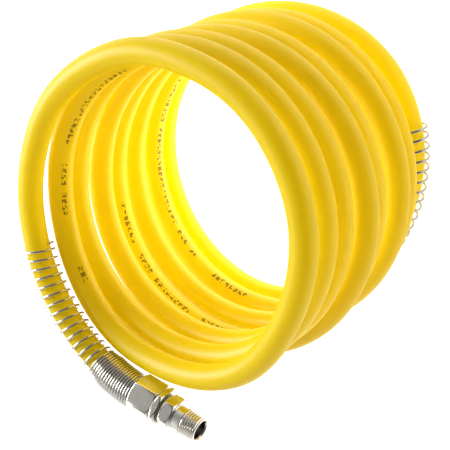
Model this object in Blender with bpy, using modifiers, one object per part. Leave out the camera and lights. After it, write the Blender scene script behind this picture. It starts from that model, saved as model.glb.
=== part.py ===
"""Recoil air hose: a coil of stiff nylon hose with a spring guard and a plated pipe fitting at each end.

Lengths are in millimetres up to the point where an object is made, and in metres there. The coil's axis is
vertical, the rear end lies on the floor, and the front end leaves along +X on top of the coil.
"""

import math

import bmesh
import bpy
from mathutils import Matrix, Vector

MM = 0.001

# Where the coil's axis stands, and the height of the front end's centreline.
AXIS_X, AXIS_Y, TOP = 0.0, 8.76, 125.5

HOSE_R = 6.35            # half of the 12.7 mm outside diameter
HOSE_BORE_R = 4.75       # half of the 9.5 mm inside diameter
CLEARANCE = 0.3

# The packed coil: a turned ring with a rib for each turn.
COIL_OUT, COIL_IN = 87.5, 67.0
COIL_HEIGHT, COIL_RIBS, RIB_DEPTH = 116.2, 8, 4.5
COIL_STEPS = 44
# The lowest turn leaves the ring here: the face of the step, its direction from the axis, and its height.
STEP_FACE, STEP_TURN, STEP_HEIGHT = 7.0, math.radians(8.0), 24.0

# Centrelines from the coil's axis and the front end's height, through the points the hose runs through.
FRONT_ROUTE = [(13.4, -95.5, 0), (5.8, -95.5, 0), (-6.5, -94.6, 0), (-18.5, -91.6, 0), (-31, -86.4, 0),
               (-43.2, -79, 0), (-54.5, -69.5, 0), (-65, -57.5, 0), (-74, -41, 0), (-80, -20.5, 0),
               (-80.4, 3, 0), (-73.4, 29, 0), (-54.3, 53.8, 0), (-29, 70, 0), (1.5, 74.5, 0), (31, 68.5, 0),
               (54.5, 52, 0), (70.5, 28, 0), (76, 0, 0), (74.6, -14, -0.2)]
REAR_ROUTE = [(-2.5, 80, -108.9), (17, 78, -110), (37, 69.5, -111.2), (57.5, 47.5, -113), (66.8, 19, -114.6),
              (66.2, -5, -115.4), (60.6, -26, -115.8), (55, -37, -115.9), (47.5, -47, -115.9), (42.8, -53, -115.9)]
RUN_STEP = 13.0          # distance between the tube's points

# Each fitting's own axis: s counts from the nut's rear face towards the outlet.
FRONT_NUT_AT, FRONT_OUT = (5.8, -95.5, 0), (1, 0, 0)
REAR_NUT_AT, REAR_OUT = (47.5, -47, -115.9), (-0.6157, -0.788, 0)
HOSE_END = 7.6
NUT_FLATS, STEM_FLATS = 19.05, 15.88
TURN_STEPS = 24

# Spring guards: wire, the closed section over the nut's shank, and the open section along the hose.
WIRE_R = 0.65
GUARD_POINTS = 10        # points on each turn of wire
CLOSED_TURNS, CLOSED_PITCH, CLOSED_R = 15, 1.62, 8.85
OPEN_TURNS, OPEN_PITCH, OPEN_R = 15, 4.9, 8.0
GUARD_FLARE = 5.0        # length over which the closed section widens
GUARD_SHIFT = 0.5        # the open section lies against one side of the hose

COLOURS = {
    "hose_nylon": ((0.95, 0.66, 0.01), 0.0, 0.35),
    "spring_steel": ((0.55, 0.55, 0.53), 1.0, 0.3),
    "plated_nut": ((0.70, 0.70, 0.68), 1.0, 0.2),
    "plated_body": ((0.68, 0.68, 0.66), 1.0, 0.22),
    "swivel_steel": ((0.72, 0.70, 0.62), 1.0, 0.25),
    "brass": ((0.80, 0.60, 0.25), 1.0, 0.3),
    "black_rubber": ((0.02, 0.02, 0.02), 0.0, 0.7),
    "white_plastic": ((0.85, 0.85, 0.82), 0.0, 0.4),
}


def clear_scene():
    for obj in list(bpy.data.objects):
        bpy.data.objects.remove(obj)


def collection(name, hidden=False):
    made = bpy.data.collections.new(name)
    bpy.context.scene.collection.children.link(made)
    made.hide_render = hidden
    return made


def material(name, slot):
    colour, metallic, roughness = COLOURS[slot]
    made = bpy.data.materials.new(name)
    made.use_nodes = True
    shader = made.node_tree.nodes["Principled BSDF"]
    shader.inputs["Base Color"].default_value = (*colour, 1)
    shader.inputs["Metallic"].default_value = metallic
    shader.inputs["Roughness"].default_value = roughness
    made.diffuse_color = (*colour, 1)
    return made


def add(name, data, group, matrix=None, slot=None):
    obj = bpy.data.objects.new(name, data)
    group.objects.link(obj)
    obj.matrix_world = matrix or Matrix()
    if slot:
        data.materials.append(material(name, slot))
    return obj


def hide(obj):
    obj.hide_render = True
    obj.display_type = "WIRE"
    return obj


def spline(points):
    """A natural cubic spline through the points: its length by chords, and its position at a distance along it."""
    points = [Vector(p) for p in points]
    at = [0.0]
    for a, b in zip(points, points[1:]):
        at.append(at[-1] + (b - a).length)
    last = len(points) - 1
    gap = [at[i + 1] - at[i] for i in range(last)]
    slope = [(points[i + 1] - points[i]) / gap[i] for i in range(last)]
    diag, right = [1.0] * (last + 1), [Vector((0, 0, 0))] * (last + 1)
    upper = [0.0] * (last + 1)
    for i in range(1, last):
        diag[i] = 2 * (gap[i - 1] + gap[i]) - gap[i - 1] * upper[i - 1]
        upper[i] = gap[i] / diag[i]
        right[i] = (6 * (slope[i] - slope[i - 1]) - gap[i - 1] * right[i - 1]) / diag[i]
    bend = [Vector((0, 0, 0))] * (last + 1)
    for i in range(last - 1, 0, -1):
        bend[i] = right[i] - upper[i] * bend[i + 1]

    def point(s):
        s = min(max(s, 0.0), at[-1])
        i = next((k for k in range(last) if s <= at[k + 1]), last - 1)
        a, b, h = at[i + 1] - s, s - at[i], gap[i]
        return ((bend[i] * a**3 + bend[i + 1] * b**3) / (6 * h)
                + (points[i] / h - bend[i] * h / 6) * a + (points[i + 1] / h - bend[i + 1] * h / 6) * b)

    return at[-1], point


def world(p):
    return Vector((p[0] + AXIS_X, p[1] + AXIS_Y, p[2] + TOP)) * MM


def poly_tube(name, points, radius, resolution, group, slot=None):
    data = bpy.data.curves.new(name, "CURVE")
    data.dimensions = "3D"
    data.bevel_depth = radius * MM
    data.bevel_resolution = resolution
    data.use_fill_caps = True
    line = data.splines.new("POLY")
    line.points.add(len(points) - 1)
    for spot, p in zip(line.points, points):
        spot.co = (*world(p), 1)
    return add(name, data, group, slot=slot)


def as_mesh(obj, group, slot):
    """The curve's tube as a mesh object, so that a Boolean can cut it."""
    bpy.context.view_layer.update()
    graph = bpy.context.evaluated_depsgraph_get()
    data = bpy.data.meshes.new_from_object(obj.evaluated_get(graph))
    tidy = bmesh.new()
    tidy.from_mesh(data)
    bmesh.ops.remove_doubles(tidy, verts=tidy.verts, dist=1e-6)
    bmesh.ops.recalc_face_normals(tidy, faces=tidy.faces)
    tidy.to_mesh(data)
    tidy.free()
    name, matrix = obj.name, obj.matrix_world.copy()
    bpy.data.objects.remove(obj)
    data.materials.clear()
    return add(name, data, group, matrix, slot)


def axis_frame(at, out):
    """The matrix that puts local +Z along a fitting's axis and local +Y upwards."""
    z = Vector(out).normalized()
    y = Vector((0, 0, 1))
    x = y.cross(z)
    turn = Matrix((x, y, z)).transposed().to_4x4()
    return Matrix.Translation(world(at)) @ turn


def turned(name, profile, group, matrix=None, slot=None, steps=TURN_STEPS):
    """A closed profile of (radius, height), outer side from top to bottom, turned about local Z."""
    data = bpy.data.meshes.new(name)
    count = len(profile)
    data.from_pydata([(r * MM, 0, s * MM) for r, s in profile], [(i, (i + 1) % count) for i in range(count)], [])
    obj = add(name, data, group, matrix, slot)
    screw = obj.modifiers.new("turn", "SCREW")
    screw.axis = "Z"
    screw.steps = screw.render_steps = steps
    screw.use_merge_vertices = True
    screw.merge_threshold = 1e-5
    screw.use_smooth_shade = False
    return obj


def hex_prism(name, flats, low, high, turn, group, matrix):
    data = bpy.data.meshes.new(name)
    made = bmesh.new()
    bmesh.ops.create_cone(made, cap_ends=True, segments=6, radius1=flats / 2 / math.cos(math.pi / 6) * MM,
                          radius2=flats / 2 / math.cos(math.pi / 6) * MM, depth=(high - low) * MM,
                          matrix=Matrix.Translation((0, 0, (low + high) / 2 * MM)) @ Matrix.Rotation(turn, 4, "Z"))
    made.to_mesh(data)
    made.free()
    return hide(add(name, data, group, matrix))


def cut(obj, cutter, operation="DIFFERENCE"):
    step = obj.modifiers.new(cutter.name, "BOOLEAN")
    step.operation = operation
    step.solver = "EXACT"
    step.object = cutter
    return obj


def hexed(name, profile, flats, turn, group, cutters, matrix, slot):
    """A turned piece whose large diameters are cut to a hexagon, which leaves the corners chamfered."""
    obj = turned(name, profile, group, matrix, slot)
    low, high = min(s for _, s in profile) - 5, max(s for _, s in profile) + 5
    return cut(obj, hex_prism(name + "_flats", flats, low, high, turn, cutters, matrix), "INTERSECT")


def hose_run(name, route, end_frame, group, cutters):
    """A stretch of hose, bored at its fitting end for the tube insert."""
    length, point = spline(route)
    count = round(length / RUN_STEP)
    obj = as_mesh(poly_tube(name, [point(length * i / count) for i in range(count + 1)], HOSE_R, 3, group),
                  group, "hose_nylon")
    bore = hex_prism(name + "_bore", 2 * HOSE_BORE_R, -6.0, HOSE_END + 4, 0, cutters, end_frame)
    bore.data.clear_geometry()
    made = bmesh.new()
    bmesh.ops.create_cone(made, cap_ends=True, segments=TURN_STEPS, radius1=HOSE_BORE_R * MM,
                          radius2=HOSE_BORE_R * MM, depth=(HOSE_END + 10) * MM,
                          matrix=Matrix.Translation((0, 0, (HOSE_END - 2) / 2 * MM)))
    made.to_mesh(bore.data)
    made.free()
    return cut(obj, bore)


def guard(name, route, end, side, group):
    """Spring wire wound along the hose. end is the nut's distance along the route, and side the wire's offset."""
    length, point = spline(route)
    toward_start = end < length / 2
    points, s = [], -0.98
    turns = CLOSED_TURNS + OPEN_TURNS
    for i in range(turns * GUARD_POINTS + 1):
        angle = 2 * math.pi * i / GUARD_POINTS
        closed = min(max((i / GUARD_POINTS - CLOSED_TURNS) / 1.0, 0), 1)
        flare = min(max((s + CLOSED_TURNS * CLOSED_PITCH) / GUARD_FLARE, 0), 1)
        radius = OPEN_R + (CLOSED_R - OPEN_R) * flare * flare * (3 - 2 * flare)
        along = end - s if toward_start else end + s
        centre = point(along)
        ahead = (point(along + 0.5) - point(along - 0.5)).normalized()
        across = ahead.cross(Vector((0, 0, 1))).normalized()
        up = across.cross(ahead)
        away = Vector((centre.x, centre.y, 0)).normalized() * (side * GUARD_SHIFT * (1 - flare))
        points.append(centre + away + radius * (math.cos(angle) * across + math.sin(angle) * up))
        pitch = CLOSED_PITCH + (OPEN_PITCH - CLOSED_PITCH) * closed
        if i > (turns - 1) * GUARD_POINTS:
            pitch = 3.5
        s -= pitch / GUARD_POINTS
    return poly_tube(name, points, WIRE_R, 1, group, "spring_steel")


def coil(group, cutters):
    rib = COIL_HEIGHT / COIL_RIBS
    outer, inner = [(COIL_OUT - RIB_DEPTH, COIL_HEIGHT)], [(COIL_IN + RIB_DEPTH, 0.0)]
    for k in range(COIL_RIBS):
        high = COIL_HEIGHT - k * rib
        outer += [(COIL_OUT, high - 0.3 * rib), (COIL_OUT, high - 0.7 * rib), (COIL_OUT - RIB_DEPTH, high - rib)]
        low = k * rib
        inner += [(COIL_IN, low + 0.3 * rib), (COIL_IN, low + 0.7 * rib), (COIL_IN + RIB_DEPTH, low + rib)]
    matrix = Matrix.Translation(Vector((AXIS_X, AXIS_Y, 0)) * MM)
    ring = turned("hose_coil", outer + inner, group, matrix, "hose_nylon", COIL_STEPS)
    data = bpy.data.meshes.new("coil_step")
    made = bmesh.new()
    bmesh.ops.create_cube(made, size=1.0)
    made.to_mesh(data)
    made.free()
    deep = 120.0
    middle = Vector((STEP_FACE + deep / 2, 0, STEP_HEIGHT / 2 - 5)) * MM
    shape = Matrix.Diagonal((deep * MM, 260 * MM, (STEP_HEIGHT + 10) * MM, 1))
    step = add("coil_step", data, cutters,
               matrix @ Matrix.Rotation(STEP_TURN, 4, "Z") @ Matrix.Translation(middle) @ shape)
    cut(ring, hide(step))


def end_pieces(prefix, frame, turn, group, cutters):
    """The pieces that both ends share: the nut with its shank, the ferrule and the tube insert."""
    nut = [(9.4, 14), (11.3, 12.9), (11.3, 1.1), (9.4, 0), (7.5, 0), (7.5, -6), (7.0, -6), (6.65, -2), (6.65, 2),
           (8.3, 2), (8.3, 14)]
    hexed(prefix + "_nut", nut, NUT_FLATS, turn, group, cutters, frame, "plated_nut")
    ferrule = [(7.8, 4.7), (7.8, 2.9), (7.2, 2.3), (6.65, 2.3), (6.65, 4.7)]
    turned(prefix + "_ferrule", ferrule, group, frame, "brass")
    insert = [(6.2, 8.5), (6.2, 7.8), (4.55, 7.8), (4.55, -5), (3.75, -5), (3.75, 8.5)]
    turned(prefix + "_tube_insert", insert, group, frame, "brass")


def front_end(group, cutters):
    frame = axis_frame(FRONT_NUT_AT, FRONT_OUT)
    end_pieces("front", frame, 0, group, cutters)
    body = [(9.6, 17.2), (11.3, 16.2), (11.3, 14.3), (8.0, 14.3), (8.0, 5), (6.7, 5), (6.7, 8.7), (3.75, 8.7),
            (3.75, 9.5), (5.5, 9.5), (5.5, 14.5), (6.0, 14.5), (6.0, 15.7), (5.5, 15.7), (5.5, 17.2)]
    hexed("front_body", body, NUT_FLATS, 0, group, cutters, frame, "plated_body")
    stem = [(6.0, 38.7), (6.8, 37.9), (6.85, 30.1), (6.3, 29.5), (6.3, 24.6), (7.8, 24.6), (9.4, 23.7),
            (9.4, 19.1), (7.8, 18.2), (5.2, 18.2), (5.2, 15.7), (4.55, 15.7), (4.55, 14.5), (5.2, 14.5),
            (5.2, 12.8), (4.2, 12.8), (4.2, 11.1), (5.2, 11.1), (5.2, 9.8), (3.7, 9.8), (3.7, 20), (4.6, 21),
            (4.6, 38.1), (5.0, 38.7)]
    hexed("swivel_stem", stem, STEM_FLATS, 0, group, cutters, frame, "swivel_steel")
    turned("swivel_thrust_washer", [(7.5, 18.0), (7.5, 17.4), (5.5, 17.4), (5.5, 18.0)], group, frame,
           "white_plastic")
    turned("swivel_retaining_ring", [(5.8, 15.4), (5.8, 14.8), (4.8, 14.8), (4.8, 15.4)], group, frame,
           "spring_steel")
    ring = [(4.85 + 0.52 * math.cos(a), 11.95 - 0.52 * math.sin(a)) for a in (k * math.pi / 4 for k in range(8))]
    turned("swivel_o_ring", ring, group, frame, "black_rubber")
    return frame


def rear_end(group, cutters):
    frame = axis_frame(REAR_NUT_AT, REAR_OUT)
    end_pieces("rear", frame, math.radians(30), group, cutters)
    body = [(6.0, 33), (6.8, 32.2), (6.85, 22.6), (6.3, 22), (6.3, 20), (9.4, 20), (11.3, 18.9), (11.3, 15.4),
            (9.4, 14.3), (8.0, 14.3), (8.0, 5), (6.7, 5), (6.7, 8.7), (3.75, 8.7), (3.75, 20), (4.6, 21),
            (4.6, 32.4), (5.0, 33)]
    hexed("rear_body", body, NUT_FLATS, math.radians(30), group, cutters, frame, "plated_body")
    return frame


clear_scene()
parts = collection("recoil_air_hose")
cutters = collection("cutters", hidden=True)
coil(parts, cutters)
front_frame = front_end(parts, cutters)
rear_frame = rear_end(parts, cutters)
hose_run("hose_front_run", FRONT_ROUTE, front_frame, parts, cutters)
hose_run("hose_rear_run", REAR_ROUTE, rear_frame, parts, cutters)
guard("front_spring_guard", FRONT_ROUTE, HOSE_END, -1, parts)
guard("rear_spring_guard", REAR_ROUTE, spline(REAR_ROUTE)[0] - HOSE_END, 1, parts)
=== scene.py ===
"""Recoil air hose, looks: yellow nylon tube, wire guards, plated fittings, and the studio around them."""

import math

import bmesh
import bpy
from mathutils import Matrix, Vector

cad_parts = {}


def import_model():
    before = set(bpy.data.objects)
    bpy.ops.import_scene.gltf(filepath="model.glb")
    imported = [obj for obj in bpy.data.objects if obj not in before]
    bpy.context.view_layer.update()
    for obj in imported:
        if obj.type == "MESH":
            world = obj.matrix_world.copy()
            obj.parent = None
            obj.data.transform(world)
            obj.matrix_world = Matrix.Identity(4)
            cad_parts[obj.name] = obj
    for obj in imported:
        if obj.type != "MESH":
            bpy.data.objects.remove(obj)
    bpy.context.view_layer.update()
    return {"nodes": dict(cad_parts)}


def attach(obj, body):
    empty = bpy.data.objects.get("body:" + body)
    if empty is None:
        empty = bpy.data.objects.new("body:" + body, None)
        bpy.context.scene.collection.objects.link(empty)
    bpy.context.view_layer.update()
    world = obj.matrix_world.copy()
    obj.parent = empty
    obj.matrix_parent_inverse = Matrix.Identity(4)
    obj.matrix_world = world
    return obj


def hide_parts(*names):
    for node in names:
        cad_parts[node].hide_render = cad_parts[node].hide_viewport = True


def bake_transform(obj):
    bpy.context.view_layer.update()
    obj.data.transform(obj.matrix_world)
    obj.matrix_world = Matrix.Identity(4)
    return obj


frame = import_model()

MM = 0.001
# The coil's axis and the front end's height in the frame. All sizes here are in mm.
AXIS_X, AXIS_Y, TOP = 0.0, 8.76, 125.5

# The hose's outer radius and wall, how far it runs into a nut, and the sides and ring spacing of its mesh.
HOSE_R, HOSE_WALL, HOSE_END = 6.35, 1.6, 7.6
HOSE_SIDES, HOSE_STEP = 28, 2.5
# The wire guards: close turns over the nut's shank, then open turns along the hose.
WIRE_R, CLOSED_R = 0.65, 8.85
CLOSED_TURNS, CLOSED_PITCH, OPEN_TURNS = 15, 1.62, 15
# Where the back of each nut's hexagon is on the hose's route, and the way its fitting points.
FRONT_NUT_AT, FRONT_OUT = (5.8, -95.5, 0), (1, 0, 0)
REAR_NUT_AT, REAR_OUT = (47.5, -47, -115.9), (-0.6157, -0.788, 0)

# The hose's route, front to rear, in mm from the coil's axis and from the front end's height.
FIRST_TURNS = [
    (13.4, -95.5, 0), (5.8, -95.5, 0), (-6.5, -94.6, 0), (-18.5, -91.6, 0), (-31, -86.4, 0), (-43.2, -79, 0),
    (-54.5, -69.5, 0), (-65, -57.5, 0), (-74, -41, 0), (-80, -20.5, 0), (-80.4, 3, 0), (-73.4, 29, 0),
    (-54.3, 53.8, 0), (-29, 70, 0), (1.5, 74.5, 0), (31, 68.5, 0), (54.5, 52, 0), (70.5, 28, 0), (76, 0, 0),
    (71.5, -28, -1), (59.5, -52.5, -3), (37, -70.8, -5), (9.5, -80.1, -8.6), (-19.8, -79.5, -11),
    (-45.2, -65.2, -12.1), (-65, -40, -13.3)]
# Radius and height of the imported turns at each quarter: left, top, right, bottom, and round again.
QUARTER_TURNS = [
    (75.5, -14.5), (74.5, -17.5), (74, -20.5), (77, -23.2),
    (76.3, -27.5), (75, -30.6), (74, -34.7), (74.5, -38.2),
    (74, -43.7), (76, -48), (78.5, -51), (80, -54.2),
    (76.5, -58.3), (76, -61.5), (74.5, -64.8), (75.5, -69),
    (77, -74.2), (78.8, -80), (77, -84), (74.5, -86.6),
    (77, -90)]
LAST_TURNS = [
    (-54.8, 54.8, -92.2), (0, 78, -94.5), (53.5, 53.5, -96.5), (73.2, 0, -98), (50.8, -50.8, -99),
    (0, -74.5, -100.6), (-54, -54, -102.3), (-79.4, 0, -104.2), (-56.6, 56.8, -106.6), (-2.5, 80, -108.9),
    (17, 78, -110), (37, 69.5, -111.2), (57.5, 47.5, -113), (66.8, 19, -114.6), (66.2, -5, -115.4),
    (60.6, -26, -115.8), (55, -37, -115.9), (47.5, -47, -115.9), (42.8, -53, -115.9)]


# ---------------------------------------------------------------- shapes

def world(p):
    return Vector((p[0] + AXIS_X, p[1] + AXIS_Y, p[2] + TOP)) * MM


def between(a, b, c, d, w):
    """The smooth value at w of the way from b to c, where a and d are their neighbours."""
    square, cube = 2 * a - 5 * b + 4 * c - d, 3 * b - a - 3 * c + d
    return 0.5 * (2 * b + (c - a) * w + square * w * w + cube * w**3)


def packed_turns():
    """The route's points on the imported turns, three to a quarter, with radius and height eased between."""
    points, last = [], len(QUARTER_TURNS) - 1
    for i in range(last * 3 + 1):
        k, w = divmod(i, 3)
        w /= 3
        near = [QUARTER_TURNS[min(max(j, 0), last)] for j in (k - 1, k, k + 1, k + 2)]
        r, z = (between(*four, w) for four in zip(*near))
        turn = math.radians(180 - 30 * i)
        points.append((r * math.cos(turn), r * math.sin(turn), z))
    return points


def spline(points):
    """A natural cubic spline through the points: its length by chords, and the point at a distance on it."""
    points = [Vector(p) for p in points]
    at = [0.0]
    for a, b in zip(points, points[1:]):
        at.append(at[-1] + (b - a).length)
    last = len(points) - 1
    gap = [at[i + 1] - at[i] for i in range(last)]
    slope = [(points[i + 1] - points[i]) / gap[i] for i in range(last)]
    upper, right = [0.0] * (last + 1), [Vector((0, 0, 0))] * (last + 1)
    for i in range(1, last):
        diag = 2 * (gap[i - 1] + gap[i]) - gap[i - 1] * upper[i - 1]
        upper[i] = gap[i] / diag
        right[i] = (6 * (slope[i] - slope[i - 1]) - gap[i - 1] * right[i - 1]) / diag
    bend = [Vector((0, 0, 0))] * (last + 1)
    for i in range(last - 1, 0, -1):
        bend[i] = right[i] - upper[i] * bend[i + 1]

    def point(s):
        s = min(max(s, 0.0), at[-1])
        low, high = 0, last
        while high - low > 1:
            mid = (low + high) // 2
            low, high = (mid, high) if at[mid] <= s else (low, mid)
        a, b, h = at[low + 1] - s, s - at[low], gap[low]
        return ((bend[low] * a**3 + bend[low + 1] * b**3) / (6 * h)
                + (points[low] / h - bend[low] * h / 6) * a
                + (points[low + 1] / h - bend[low + 1] * h / 6) * b)

    return at[-1], point


def mesh_object(name, vertices, faces, smooth=True):
    data = bpy.data.meshes.new(name)
    data.from_pydata(vertices, [], faces)
    data.update()
    for face in data.polygons:
        face.use_smooth = smooth
    obj = bpy.data.objects.new(name, data)
    bpy.context.scene.collection.objects.link(obj)
    return obj


def tube(name, centres, radius, sides, wall=None):
    """A round tube on the centres, with u = distance and v = turn about it. A wall hollows out both ends."""
    count = len(centres)
    tangents = [(centres[min(i + 1, count - 1)] - centres[max(i - 1, 0)]).normalized() for i in range(count)]
    vertices, uv, along = [], [], [0.0]
    for i in range(1, count):
        along.append(along[-1] + (centres[i] - centres[i - 1]).length)
    frames = []
    for t in tangents:
        across = t.cross(Vector((0, 0, 1))).normalized()
        frames.append((across, across.cross(t)))
    for i, c in enumerate(centres):
        across, up = frames[i]
        for j in range(sides):
            a = 2 * math.pi * j / sides
            vertices.append(c + radius * (math.cos(a) * across + math.sin(a) * up))
    faces = []
    for i in range(count - 1):
        for j in range(sides):
            k = (j + 1) % sides
            faces.append((i * sides + j, i * sides + k, (i + 1) * sides + k, (i + 1) * sides + j))
            uv.append([(along[i], j / sides), (along[i], (j + 1) / sides),
                       (along[i + 1], (j + 1) / sides), (along[i + 1], j / sides)])
    for ring, way in ((0, -1), (count - 1, 1)):
        rim = ring * sides
        if wall:
            across, up = frames[ring]
            hole = len(vertices)
            for depth in (0.0, -wall * 2):
                for j in range(sides):
                    a = 2 * math.pi * j / sides
                    vertices.append(centres[ring] + tangents[ring] * way * depth
                                    + (radius - wall) * (math.cos(a) * across + math.sin(a) * up))
            for one, two in ((rim, hole), (hole, hole + sides)):
                for j in range(sides):
                    k = (j + 1) % sides
                    quad = (one + j, one + k, two + k, two + j)
                    faces.append(quad if way > 0 else quad[::-1])
                    uv.append([(along[ring], 0.0)] * 4)
            rim = hole + sides
        cap = [rim + j for j in range(sides)]
        faces.append(tuple(cap) if way > 0 else tuple(cap[::-1]))
        uv.append([(along[ring], 0.0)] * sides)
    obj = mesh_object(name, vertices, faces)
    layer = obj.data.uv_layers.new(name="UVMap")
    spot = 0
    for corners in uv:
        for u, v in corners:
            layer.data[spot].uv = (u, v)
            spot += 1
    return obj


def axis_frame(at, out):
    """A fitting's place: its origin at the back of the nut's hexagon and its z along the fitting's axis."""
    z, y = Vector(out).normalized(), Vector((0, 0, 1))
    turn = Matrix((y.cross(z), y, z)).transposed().to_4x4()
    return Matrix.Translation(world(at)) @ turn


def soft_min(values, k):
    """The lowest value, rounded off over about k where two are close."""
    low = min(values)
    return low - k * math.log(sum(math.exp((low - v) / k) for v in values))


# A hexagon is cut on rings wider than HEX_SHARE of its flats, and CORNER softens its corners. A thread is wound
# on rings wider than BORE. Edges that turn by more than SHARP are drawn as sharp.
HEX_SHARE, CORNER, BORE, SHARP = 0.42, 0.12, 6.0, math.radians(24)


def wrapped(angle):
    return (angle + math.pi) % (2 * math.pi) - math.pi


def lathe(name, profile, matrix, flats, turn, sides=120, thread=None):
    """A turned shape from a closed profile of (radius, height, steps to the next point). flats = (low, high,
    across) cuts the rings between low and high to a hexagon with softened corners, and thread = (low, high,
    pitch, depth) winds a tapered thread on the outside."""
    rings = []
    for i, (r, s, steps) in enumerate(profile):
        r2, s2, _ = profile[(i + 1) % len(profile)]
        for k in range(steps):
            w = k / steps
            rings.append((r + (r2 - r) * w, s + (s2 - s) * w))
    vertices, total = [], len(rings)
    flat_low, flat_high, across = flats
    for r, s in rings:
        hexagon = flat_low <= s <= flat_high and r > across * HEX_SHARE
        for j in range(sides):
            a = 2 * math.pi * j / sides
            radius = r
            if hexagon:
                near = sorted((wrapped(a - turn - k * math.pi / 3) for k in range(6)), key=abs)[:2]
                radius = soft_min([r] + [across / 2 / math.cos(x) for x in near], CORNER)
            if thread and thread[0] <= s <= thread[1] and r > BORE:
                low, high, pitch, depth = thread
                # A groove with sloping sides that fades in over one turn and runs out over less than half of one.
                phase = ((s - low) / pitch - a / (2 * math.pi)) % 1.0
                form = min(1.0, max(0.0, abs(phase - 0.5) * 2.4 - 0.1))
                fade = min(1.0, (s - low) / pitch, (high - s) / (0.4 * pitch))
                radius -= depth * form * max(fade, 0.0)
            vertices.append(matrix @ (Vector((radius * math.cos(a), radius * math.sin(a), s)) * MM))
    faces = []
    for i in range(total):
        n = (i + 1) % total
        for j in range(sides):
            k = (j + 1) % sides
            faces.append((i * sides + j, n * sides + j, n * sides + k, i * sides + k))
    obj = mesh_object(name, vertices, faces)
    edges = bmesh.new()
    edges.from_mesh(obj.data)
    bmesh.ops.recalc_face_normals(edges, faces=edges.faces)
    for edge in edges.edges:
        if len(edge.link_faces) == 2 and edge.calc_face_angle(0) > SHARP:
            edge.smooth = False
    edges.to_mesh(obj.data)
    edges.free()
    return obj


def guard_wire(name, point, end, toward_start, side, shift, open_r, open_pitch):
    """The wound spring wire, from its close turns over the nut's shank to its open end along the hose. The open
    turns hang to one side of the hose by shift, and the last of them has end_pitch."""
    per_turn, first, taper, ease_turns, end_pitch, sway = 36, -0.95, 6.0, 0.8, 3.4, 0.12
    centres, s = [], first
    turns = CLOSED_TURNS + OPEN_TURNS
    for i in range(turns * per_turn + 1):
        t = i / per_turn
        angle = 2 * math.pi * t
        ease = min(max((s + CLOSED_TURNS * CLOSED_PITCH) / taper, 0), 1)
        ease = ease * ease * (3 - 2 * ease)
        radius = open_r + (CLOSED_R - open_r) * ease
        along = end - s if toward_start else end + s
        centre = point(along)
        ahead = (point(along + 0.5) - point(along - 0.5)).normalized()
        across = ahead.cross(Vector((0, 0, 1))).normalized()
        up = across.cross(ahead)
        away = Vector((centre.x, centre.y, 0)).normalized() * (side * shift * (1 - ease))
        wobble = sway * math.sin(0.9 * t + 1.3) * (1 - ease)
        outward = math.cos(angle) * across + math.sin(angle) * up
        centres.append(world(centre + away + (radius + wobble) * outward))
        pitch = CLOSED_PITCH + (open_pitch - CLOSED_PITCH) * min(max((t - CLOSED_TURNS) / ease_turns, 0), 1)
        if t > turns - 1:
            pitch = end_pitch
        s -= pitch / per_turn
    return tube(name, centres, WIRE_R * MM, 12)


# ---------------------------------------------------------------- materials

NYLON_DARK, NYLON_LIGHT, NYLON_GLOW = (0.87, 0.705, 0.002, 1), (0.90, 0.74, 0.004, 1), (1.0, 0.86, 0.004, 1)
NYLON_ROUGH, NYLON_THROUGH = 0.4, 0.45
# Where the printed row shows: its start and end along the hose, its turn from the inner side in degrees, and
# its twist in degrees per mm.
INK_SPANS = [(567, 577, 30, -0.1), (606, 634, 33, -0.15), (644, 708, 31, -0.2), (1862, 1948, 30, 0.0),
             (1953, 1982, 29, 0.0), (1986, 1999, 28, 0.0), (2004, 2030, 27, 0.0), (2900, 2926, 34, -0.2),
             (2936, 3060, 28, -0.2)]
INK, INK_BEHIND = (0.17, 0.10, 0.03, 1), (0.1, 0.07, 0.01, 1)
# Cells of the row are INK_CELL long, in bands of INK_BAND, within INK_HALF of its line, and INK_WORD to a word.
INK_CELL, INK_BAND, INK_HALF, INK_WORD = 3.4, 0.9, 1.3, 7.0
# The share of a cell that can hold ink, and the shares of cells, of words and of marks that are left blank.
INK_FILL, BLANK_CELLS, BLANK_WORDS, BLANK_MARKS = 0.72, 0.1, 0.02, 0.4
PLATE_GRAIN, PLATE_MARKS = 900.0, 0.05


def shader_of(name):
    """A new material, its nodes and links, and its Principled shader."""
    made = bpy.data.materials.new(name)
    made.use_nodes = True
    return made, made.node_tree.nodes, made.node_tree.links, made.node_tree.nodes["Principled BSDF"]


def put(nodes, kind, **values):
    """A new node with its settings and its inputs given by name."""
    node = nodes.new(kind)
    for key, value in values.items():
        if hasattr(node, key):
            setattr(node, key, value)
        else:
            node.inputs[key.replace("_", " ")].default_value = value
    return node


def maths(nodes, links, operation, *values):
    """The result of a sum on numbers or sockets."""
    node = nodes.new("ShaderNodeMath")
    node.operation = operation
    for i, value in enumerate(values):
        if isinstance(value, (int, float)):
            node.inputs[i].default_value = value
        else:
            links.new(value, node.inputs[i])
    return node.outputs[0]


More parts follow.
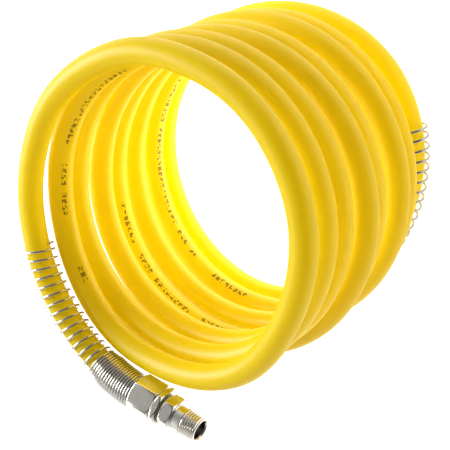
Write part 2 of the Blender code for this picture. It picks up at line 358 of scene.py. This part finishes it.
def nylon():
    """Glossy, slightly translucent nylon with faint extrusion lines, and a printed row of generic marks."""
    made, nodes, links, shader = shader_of("nylon_yellow")
    place = put(nodes, "ShaderNodeUVMap", uv_map="UVMap")
    split = nodes.new("ShaderNodeSeparateXYZ")
    links.new(place.outputs["UV"], split.inputs[0])
    u, v = split.outputs["X"], split.outputs["Y"]

    coord = nodes.new("ShaderNodeTexCoord")
    blotch = put(nodes, "ShaderNodeTexNoise", Scale=22.0, Detail=2.0, Roughness=0.5)
    links.new(coord.outputs["Object"], blotch.inputs["Vector"])
    tone = nodes.new("ShaderNodeValToRGB")
    tone.color_ramp.elements[0].position, tone.color_ramp.elements[1].position = 0.3, 0.7
    tone.color_ramp.elements[0].color, tone.color_ramp.elements[1].color = NYLON_DARK, NYLON_LIGHT
    links.new(blotch.outputs["Fac"], tone.inputs["Fac"])

    # The printed row: words made of short bars and dots, on a line that winds slowly round the tube.
    inked, drift = 0.0, 0.0
    for low, high, turn, slope in INK_SPANS:
        here = maths(nodes, links, "MULTIPLY", maths(nodes, links, "GREATER_THAN", u, low * MM),
                     maths(nodes, links, "LESS_THAN", u, high * MM))
        angle = maths(nodes, links, "MULTIPLY_ADD", u, slope / 360 / MM, (turn - slope * low) / 360)
        inked = maths(nodes, links, "ADD", inked, here)
        drift = maths(nodes, links, "ADD", drift, maths(nodes, links, "MULTIPLY", here, angle))
    off = maths(nodes, links, "SUBTRACT", v, drift)
    nearest = maths(nodes, links, "FLOOR", maths(nodes, links, "ADD", off, 0.5))
    off = maths(nodes, links, "SUBTRACT", off, nearest)
    row = maths(nodes, links, "MULTIPLY", off, 2 * math.pi * HOSE_R)
    cell = maths(nodes, links, "DIVIDE", u, INK_CELL * MM)
    step = maths(nodes, links, "FLOOR", cell)
    part = maths(nodes, links, "FRACT", cell)
    pick = put(nodes, "ShaderNodeTexWhiteNoise", noise_dimensions="1D")
    links.new(step, pick.inputs["W"])
    word = put(nodes, "ShaderNodeTexWhiteNoise", noise_dimensions="1D")
    links.new(maths(nodes, links, "FLOOR", maths(nodes, links, "DIVIDE", step, INK_WORD)), word.inputs["W"])
    mark = put(nodes, "ShaderNodeTexWhiteNoise", noise_dimensions="2D")
    third = maths(nodes, links, "FLOOR", maths(nodes, links, "MULTIPLY", part, 3.0))
    level = maths(nodes, links, "FLOOR", maths(nodes, links, "DIVIDE", row, INK_BAND))
    both = nodes.new("ShaderNodeCombineXYZ")
    links.new(maths(nodes, links, "MULTIPLY_ADD", step, 3.0, third), both.inputs[0])
    links.new(level, both.inputs[1])
    links.new(both.outputs[0], mark.inputs["Vector"])
    in_row = maths(nodes, links, "LESS_THAN", maths(nodes, links, "ABSOLUTE", row), INK_HALF)
    in_part = maths(nodes, links, "LESS_THAN", part, INK_FILL)
    in_step = maths(nodes, links, "GREATER_THAN", pick.outputs["Value"], BLANK_CELLS)
    in_word = maths(nodes, links, "GREATER_THAN", word.outputs["Value"], BLANK_WORDS)
    in_mark = maths(nodes, links, "GREATER_THAN", mark.outputs["Value"], BLANK_MARKS)
    ink = maths(nodes, links, "MULTIPLY", in_row, inked)
    for each in (in_part, in_step, in_word, in_mark):
        ink = maths(nodes, links, "MULTIPLY", ink, each)
    worn = put(nodes, "ShaderNodeTexNoise", Scale=900.0, Detail=2.0)
    links.new(coord.outputs["Object"], worn.inputs["Vector"])
    fade = maths(nodes, links, "MULTIPLY_ADD", worn.outputs["Fac"], 0.4, 0.6)
    ink = maths(nodes, links, "MULTIPLY", ink, fade)
    surface = put(nodes, "ShaderNodeMixRGB", Color2=INK)
    inner = put(nodes, "ShaderNodeMixRGB", Color1=NYLON_GLOW, Color2=INK_BEHIND)
    for mix in (surface, inner):
        links.new(ink, mix.inputs["Fac"])
    links.new(tone.outputs["Color"], surface.inputs["Color1"])
    links.new(surface.outputs["Color"], shader.inputs["Base Color"])

    # Faint lines drawn along the tube by the die, and a slightly uneven gloss.
    lines = nodes.new("ShaderNodeCombineXYZ")
    links.new(maths(nodes, links, "MULTIPLY", u, 30.0), lines.inputs[0])
    links.new(maths(nodes, links, "MULTIPLY", v, 60.0), lines.inputs[1])
    drawn = put(nodes, "ShaderNodeTexNoise", Scale=1.0, Detail=3.0)
    links.new(lines.outputs[0], drawn.inputs["Vector"])
    bump = put(nodes, "ShaderNodeBump", Strength=0.04, Distance=0.0002)
    links.new(drawn.outputs["Fac"], bump.inputs["Height"])
    links.new(bump.outputs["Normal"], shader.inputs["Normal"])
    links.new(maths(nodes, links, "MULTIPLY_ADD", drawn.outputs["Fac"], 0.12, NYLON_ROUGH - 0.06),
              shader.inputs["Roughness"])
    shader.inputs["IOR"].default_value = 1.53
    shader.inputs["Specular IOR Level"].default_value = 0.55

    # Light also comes through the thin wall, which is what makes the inside of the coil glow.
    through = nodes.new("ShaderNodeBsdfTranslucent")
    links.new(inner.outputs["Color"], through.inputs["Color"])
    both_ways = put(nodes, "ShaderNodeMixShader", Fac=NYLON_THROUGH)
    links.new(shader.outputs[0], both_ways.inputs[1])
    links.new(through.outputs[0], both_ways.inputs[2])
    links.new(both_ways.outputs[0], nodes["Material Output"].inputs["Surface"])
    return made


def metal(name, colour, rough):
    """Bright plating with a faint uneven gloss and fine marks."""
    made, nodes, links, shader = shader_of(name)
    shader.inputs["Metallic"].default_value = 1.0
    coord = nodes.new("ShaderNodeTexCoord")
    cloud = put(nodes, "ShaderNodeTexNoise", Scale=160.0, Detail=3.0)
    links.new(coord.outputs["Object"], cloud.inputs["Vector"])
    tone = nodes.new("ShaderNodeValToRGB")
    tone.color_ramp.elements[0].position, tone.color_ramp.elements[1].position = 0.3, 0.75
    tone.color_ramp.elements[0].color = (*(c * 0.9 for c in colour), 1)
    tone.color_ramp.elements[1].color = (*colour, 1)
    links.new(cloud.outputs["Fac"], tone.inputs["Fac"])
    links.new(tone.outputs["Color"], shader.inputs["Base Color"])
    fine = put(nodes, "ShaderNodeTexNoise", Scale=PLATE_GRAIN, Detail=2.0)
    links.new(coord.outputs["Object"], fine.inputs["Vector"])
    links.new(maths(nodes, links, "MULTIPLY_ADD", fine.outputs["Fac"], PLATE_MARKS * 2, rough - PLATE_MARKS),
              shader.inputs["Roughness"])
    bump = put(nodes, "ShaderNodeBump", Strength=0.04, Distance=0.0001)
    links.new(fine.outputs["Fac"], bump.inputs["Height"])
    links.new(bump.outputs["Normal"], shader.inputs["Normal"])
    return made


def moulded(name, colour, rough):
    """Moulded rubber or plastic with a slightly uneven tone."""
    made, nodes, links, shader = shader_of(name)
    coord = nodes.new("ShaderNodeTexCoord")
    cloud = put(nodes, "ShaderNodeTexNoise", Scale=400.0, Detail=3.0)
    links.new(coord.outputs["Object"], cloud.inputs["Vector"])
    tone = nodes.new("ShaderNodeValToRGB")
    tone.color_ramp.elements[0].color = (*(c * 0.85 for c in colour), 1)
    tone.color_ramp.elements[1].color = (*colour, 1)
    links.new(cloud.outputs["Fac"], tone.inputs["Fac"])
    links.new(tone.outputs["Color"], shader.inputs["Base Color"])
    shader.inputs["Roughness"].default_value = rough
    return made


# ---------------------------------------------------------------- camera

# The camera looks down into the standing coil from one side, and is rolled as the photo's is.
sight = bpy.data.objects.new("camera", bpy.data.cameras.new("camera"))
bpy.context.scene.collection.objects.link(sight)
sight.data.lens, sight.data.sensor_width = 87.3, 36.0
sight.data.clip_start = 0.01
right, up, back = (0.79776, 0.18809, -0.57289), (-0.39651, 0.87943, -0.26341), (0.45428, 0.4373, 0.77615)
sight.matrix_world = (Matrix.Translation(world((251.1, 220.2, 371.0)))
                      @ Matrix((right, up, back)).transposed().to_4x4())
bpy.context.scene.camera = sight

# ---------------------------------------------------------------- hose

length, route = spline(FIRST_TURNS + packed_turns() + LAST_TURNS)
count = round(length / HOSE_STEP)
line = [world(route(length * i / count)) for i in range(count + 1)]
hose = tube("nylon_hose", line, HOSE_R * MM, HOSE_SIDES, wall=HOSE_WALL * MM)
hose.data.materials.append(nylon())
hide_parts("hose_coil", "hose_front_run", "hose_rear_run")

# Each ring's points are moved onto the ring's centre, and those of the bores onto the hose's ends.
true_places = [v.co.copy() for v in hose.data.vertices]
rings = len(line) * HOSE_SIDES
for v in hose.data.vertices:
    if v.index < rings:
        v.co = line[v.index // HOSE_SIDES]
    else:
        v.co = line[0] if (v.co - line[0]).length < (v.co - line[-1]).length else line[-1]
hose.data.update()
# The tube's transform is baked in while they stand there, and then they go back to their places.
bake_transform(hose)
for v, place in zip(hose.data.vertices, true_places):
    v.co = place
hose.data.update()

# ---------------------------------------------------------------- wire guards and fittings

steel = metal("wire_plated", (0.62, 0.60, 0.55), 0.18)
# The rear guard's wire is the same plated steel as the front one, painted darker as shade.
shaded_rear_steel = metal("wire_plated_rear_shaded", (0.46, 0.45, 0.42), 0.2)
nut_plate = metal("nut_plated", (0.80, 0.775, 0.69), 0.16)
body_plate = metal("body_plated", (0.78, 0.755, 0.67), 0.18)
stem_plate = metal("stem_plated", (0.80, 0.77, 0.70), 0.17)
brass = metal("brass_turned", (0.80, 0.58, 0.24), 0.3)
rubber = moulded("rubber_black", (0.02, 0.02, 0.02), 0.6)
plastic = moulded("plastic_white", (0.85, 0.85, 0.82), 0.4)


def dress(obj, body, material, slot, *nodes):
    """Gives a piece its material and body, and hides the CAD nodes that it replaces. Its slot argument is not
    used.
    """
    obj.data.materials.clear()
    obj.data.materials.append(material)
    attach(obj, body)
    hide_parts(*nodes)
    return obj


front, rear = axis_frame(FRONT_NUT_AT, FRONT_OUT), axis_frame(REAR_NUT_AT, REAR_OUT)
# Profiles: radius, distance out from the back of the nut's hexagon, and mesh steps to the next point.
NUT = [(9.3, 14.0, 8), (11.15, 12.95, 2), (11.15, 1.05, 8), (9.3, 0, 1), (7.9, 0, 1), (7.5, -0.4, 1),
       (7.5, -5.8, 1), (7.3, -6, 1), (7.0, -6, 1), (6.65, -2, 1), (6.65, 2, 1), (8.3, 2, 1), (8.3, 14.0, 1)]
BODY = [(9.7, 17.2, 6), (11.15, 16.3, 1), (11.15, 15.2, 6), (9.9, 14.3, 1), (8.0, 14.3, 1), (8.0, 5, 1),
        (6.7, 5, 1), (6.7, 8.7, 1), (3.75, 8.7, 1), (3.75, 9.5, 1), (5.5, 9.5, 1), (5.5, 17.2, 1)]
STEM = [(6.1, 38.7, 4), (6.8, 38.0, 90), (7.1, 29.6, 1), (6.3, 29.2, 1), (6.3, 25.0, 1), (6.7, 24.6, 1),
        (7.8, 24.6, 8), (9.3, 23.7, 2), (9.3, 19.1, 8), (7.8, 18.2, 1), (5.2, 18.2, 1), (5.2, 9.8, 1),
        (3.7, 9.8, 1), (3.7, 20, 1), (4.8, 21, 1), (4.8, 37.9, 1), (5.2, 38.7, 1)]
REAR_BODY = [(5.9, 33, 4), (6.55, 32.3, 100), (7.0, 22.4, 1), (6.3, 22, 1), (6.3, 20.3, 1), (6.7, 20, 1),
             (9.4, 20, 8), (11.15, 19, 2), (11.15, 15.3, 8), (9.4, 14.3, 1), (8.0, 14.3, 1), (8.0, 5, 1),
             (6.7, 5, 1), (6.7, 8.7, 1), (3.75, 8.7, 1), (3.75, 20, 1), (4.6, 21, 1), (4.6, 32.2, 1),
             (5.1, 33, 1)]
# The hexagons, from and to and across their flats, and the threads, from and to with their pitch and depth.
NUT_FLATS, FLANGE_FLATS = (0, 14, 19.05), (14.2, 17.3, 19.05)
STEM_FLATS, REAR_FLATS = (18.1, 24.7, 15.88), (14.2, 20.1, 19.05)
STEM_THREAD, REAR_THREAD = (29.8, 38.6, 1.41, 0.95), (22.6, 32.9, 1.41, 0.95)
# The rear fitting's hexagons stand half a face round from the front one's.
half = math.pi / 6

dress(lathe("front_nut_plated", NUT, front, NUT_FLATS, 0), "front_end", nut_plate, "plated_nut", "front_nut")
rear_nut = dress(lathe("rear_nut_plated", NUT, rear, NUT_FLATS, half),
                 "coil", nut_plate, "plated_nut", "rear_nut")
dress(lathe("front_body_plated", BODY, front, FLANGE_FLATS, 0),
      "front_end", body_plate, "plated_body", "front_body")
dress(lathe("swivel_stem_plated", STEM, front, STEM_FLATS, 0, sides=144, thread=STEM_THREAD),
      "swivel", stem_plate, "swivel_steel", "swivel_stem")
rear_body = dress(lathe("rear_body_plated", REAR_BODY, rear, REAR_FLATS, half, sides=144, thread=REAR_THREAD),
                  "coil", body_plate, "plated_body", "rear_body")

# Each guard follows its own end of the hose.
front_point = spline(FIRST_TURNS[:20])[1]
rear_length, rear_point = spline(LAST_TURNS[7:])
dress(guard_wire("front_guard_wire", front_point, HOSE_END, toward_start=True, side=-1, shift=0.5,
                 open_r=7.5, open_pitch=4.85),
      "front_end", steel, "spring_steel", "front_spring_guard")
rear_guard = dress(guard_wire("rear_guard_wire", rear_point, rear_length - HOSE_END, toward_start=False,
                              side=1, shift=0.6, open_r=7.8, open_pitch=5.0),
                   "coil", shaded_rear_steel, "spring_steel", "rear_spring_guard")

for node, finish in (("front_ferrule", brass), ("rear_ferrule", brass),
                     ("front_tube_insert", brass), ("rear_tube_insert", brass),
                     ("swivel_o_ring", rubber), ("swivel_thrust_washer", plastic),
                     ("swivel_retaining_ring", steel)):
    obj = frame["nodes"][node]
    obj.data.materials.clear()
    obj.data.materials.append(finish)

# ---------------------------------------------------------------- studio

FLOOR_HALF = 3
corners = [(FLOOR_HALF * x, FLOOR_HALF * y, 0) for x, y in ((-1, -1), (1, -1), (1, 1), (-1, 1))]
floor = mesh_object("floor", corners, [(0, 1, 2, 3)], smooth=False)
made, nodes, links, shader = shader_of("floor_white")
shader.inputs["Base Color"].default_value = (0.8, 0.8, 0.8, 1)
shader.inputs["Roughness"].default_value = 0.9
shader.inputs["Emission Color"].default_value = (1, 1, 1, 1)
# The table shines up within the coil, as the bright inside of the turns shows, and hardly at all outside it.
# Seen directly, it is plain white.
path = nodes.new("ShaderNodeLightPath")
spot = nodes.new("ShaderNodeTexCoord")
reach = nodes.new("ShaderNodeVectorMath")
reach.operation = "DISTANCE"
links.new(spot.outputs["Object"], reach.inputs[0])
reach.inputs[1].default_value = (AXIS_X * MM, AXIS_Y * MM, 0)
panel = nodes.new("ShaderNodeMapRange")
panel.inputs["From Min"].default_value, panel.inputs["From Max"].default_value = 0.06, 0.1
panel.inputs["To Min"].default_value, panel.inputs["To Max"].default_value = 3.6, -0.35
links.new(reach.outputs["Value"], panel.inputs["Value"])
links.new(maths(nodes, links, "MULTIPLY_ADD", path.outputs["Is Diffuse Ray"], panel.outputs["Result"], 1.0),
          shader.inputs["Emission Strength"])
floor.data.materials.append(made)

# The studio looks white all round. Its light is dimmer on the viewer's side and on the right, and what mirrors in
# the metal is brighter.
sky = bpy.data.worlds.new("studio")
sky.use_nodes = True
bpy.context.scene.world = sky
nodes, links = sky.node_tree.nodes, sky.node_tree.links
background = nodes["Background"]
where = nodes.new("ShaderNodeTexCoord")
facing = nodes.new("ShaderNodeVectorMath")
facing.operation = "DOT_PRODUCT"
links.new(where.outputs["Generated"], facing.inputs[0])
facing.inputs[1].default_value = back
fall = nodes.new("ShaderNodeMapRange")
fall.interpolation_type = "SMOOTHSTEP"
fall.inputs["From Min"].default_value, fall.inputs["From Max"].default_value = 0.0, 0.9
fall.inputs["To Min"].default_value, fall.inputs["To Max"].default_value = 0.61, 0.08
links.new(facing.outputs["Value"], fall.inputs["Value"])
path = nodes.new("ShaderNodeLightPath")
mirrored = maths(nodes, links, "MULTIPLY_ADD", path.outputs["Is Glossy Ray"], 0.62, 1.0)
sideways = nodes.new("ShaderNodeVectorMath")
sideways.operation = "DOT_PRODUCT"
links.new(where.outputs["Generated"], sideways.inputs[0])
sideways.inputs[1].default_value = right
shade = nodes.new("ShaderNodeMapRange")
shade.inputs["From Min"].default_value, shade.inputs["From Max"].default_value = 0.0, 0.9
shade.inputs["To Min"].default_value, shade.inputs["To Max"].default_value = 1.0, 0.55
links.new(sideways.outputs["Value"], shade.inputs["Value"])
dimmed = maths(nodes, links, "MULTIPLY", fall.outputs["Result"], shade.outputs["Result"])
links.new(maths(nodes, links, "MAXIMUM", maths(nodes, links, "MULTIPLY", dimmed, mirrored),
                path.outputs["Is Camera Ray"]), background.inputs["Strength"])
background.inputs["Color"].default_value = (1, 1, 1, 1)

lamp = bpy.data.lights.new("key", "AREA")
lamp.shape, lamp.size, lamp.energy = "DISK", 0.8, 15.0
key = bpy.data.objects.new("key", lamp)
bpy.context.scene.collection.objects.link(key)
key.location = (-0.9, -0.05, 0.75)
key.rotation_euler = (Vector((0, 0, 0.07)) - key.location).to_track_quat("-Z", "Y").to_euler()
bpy.context.scene.view_settings.view_transform = "Standard"
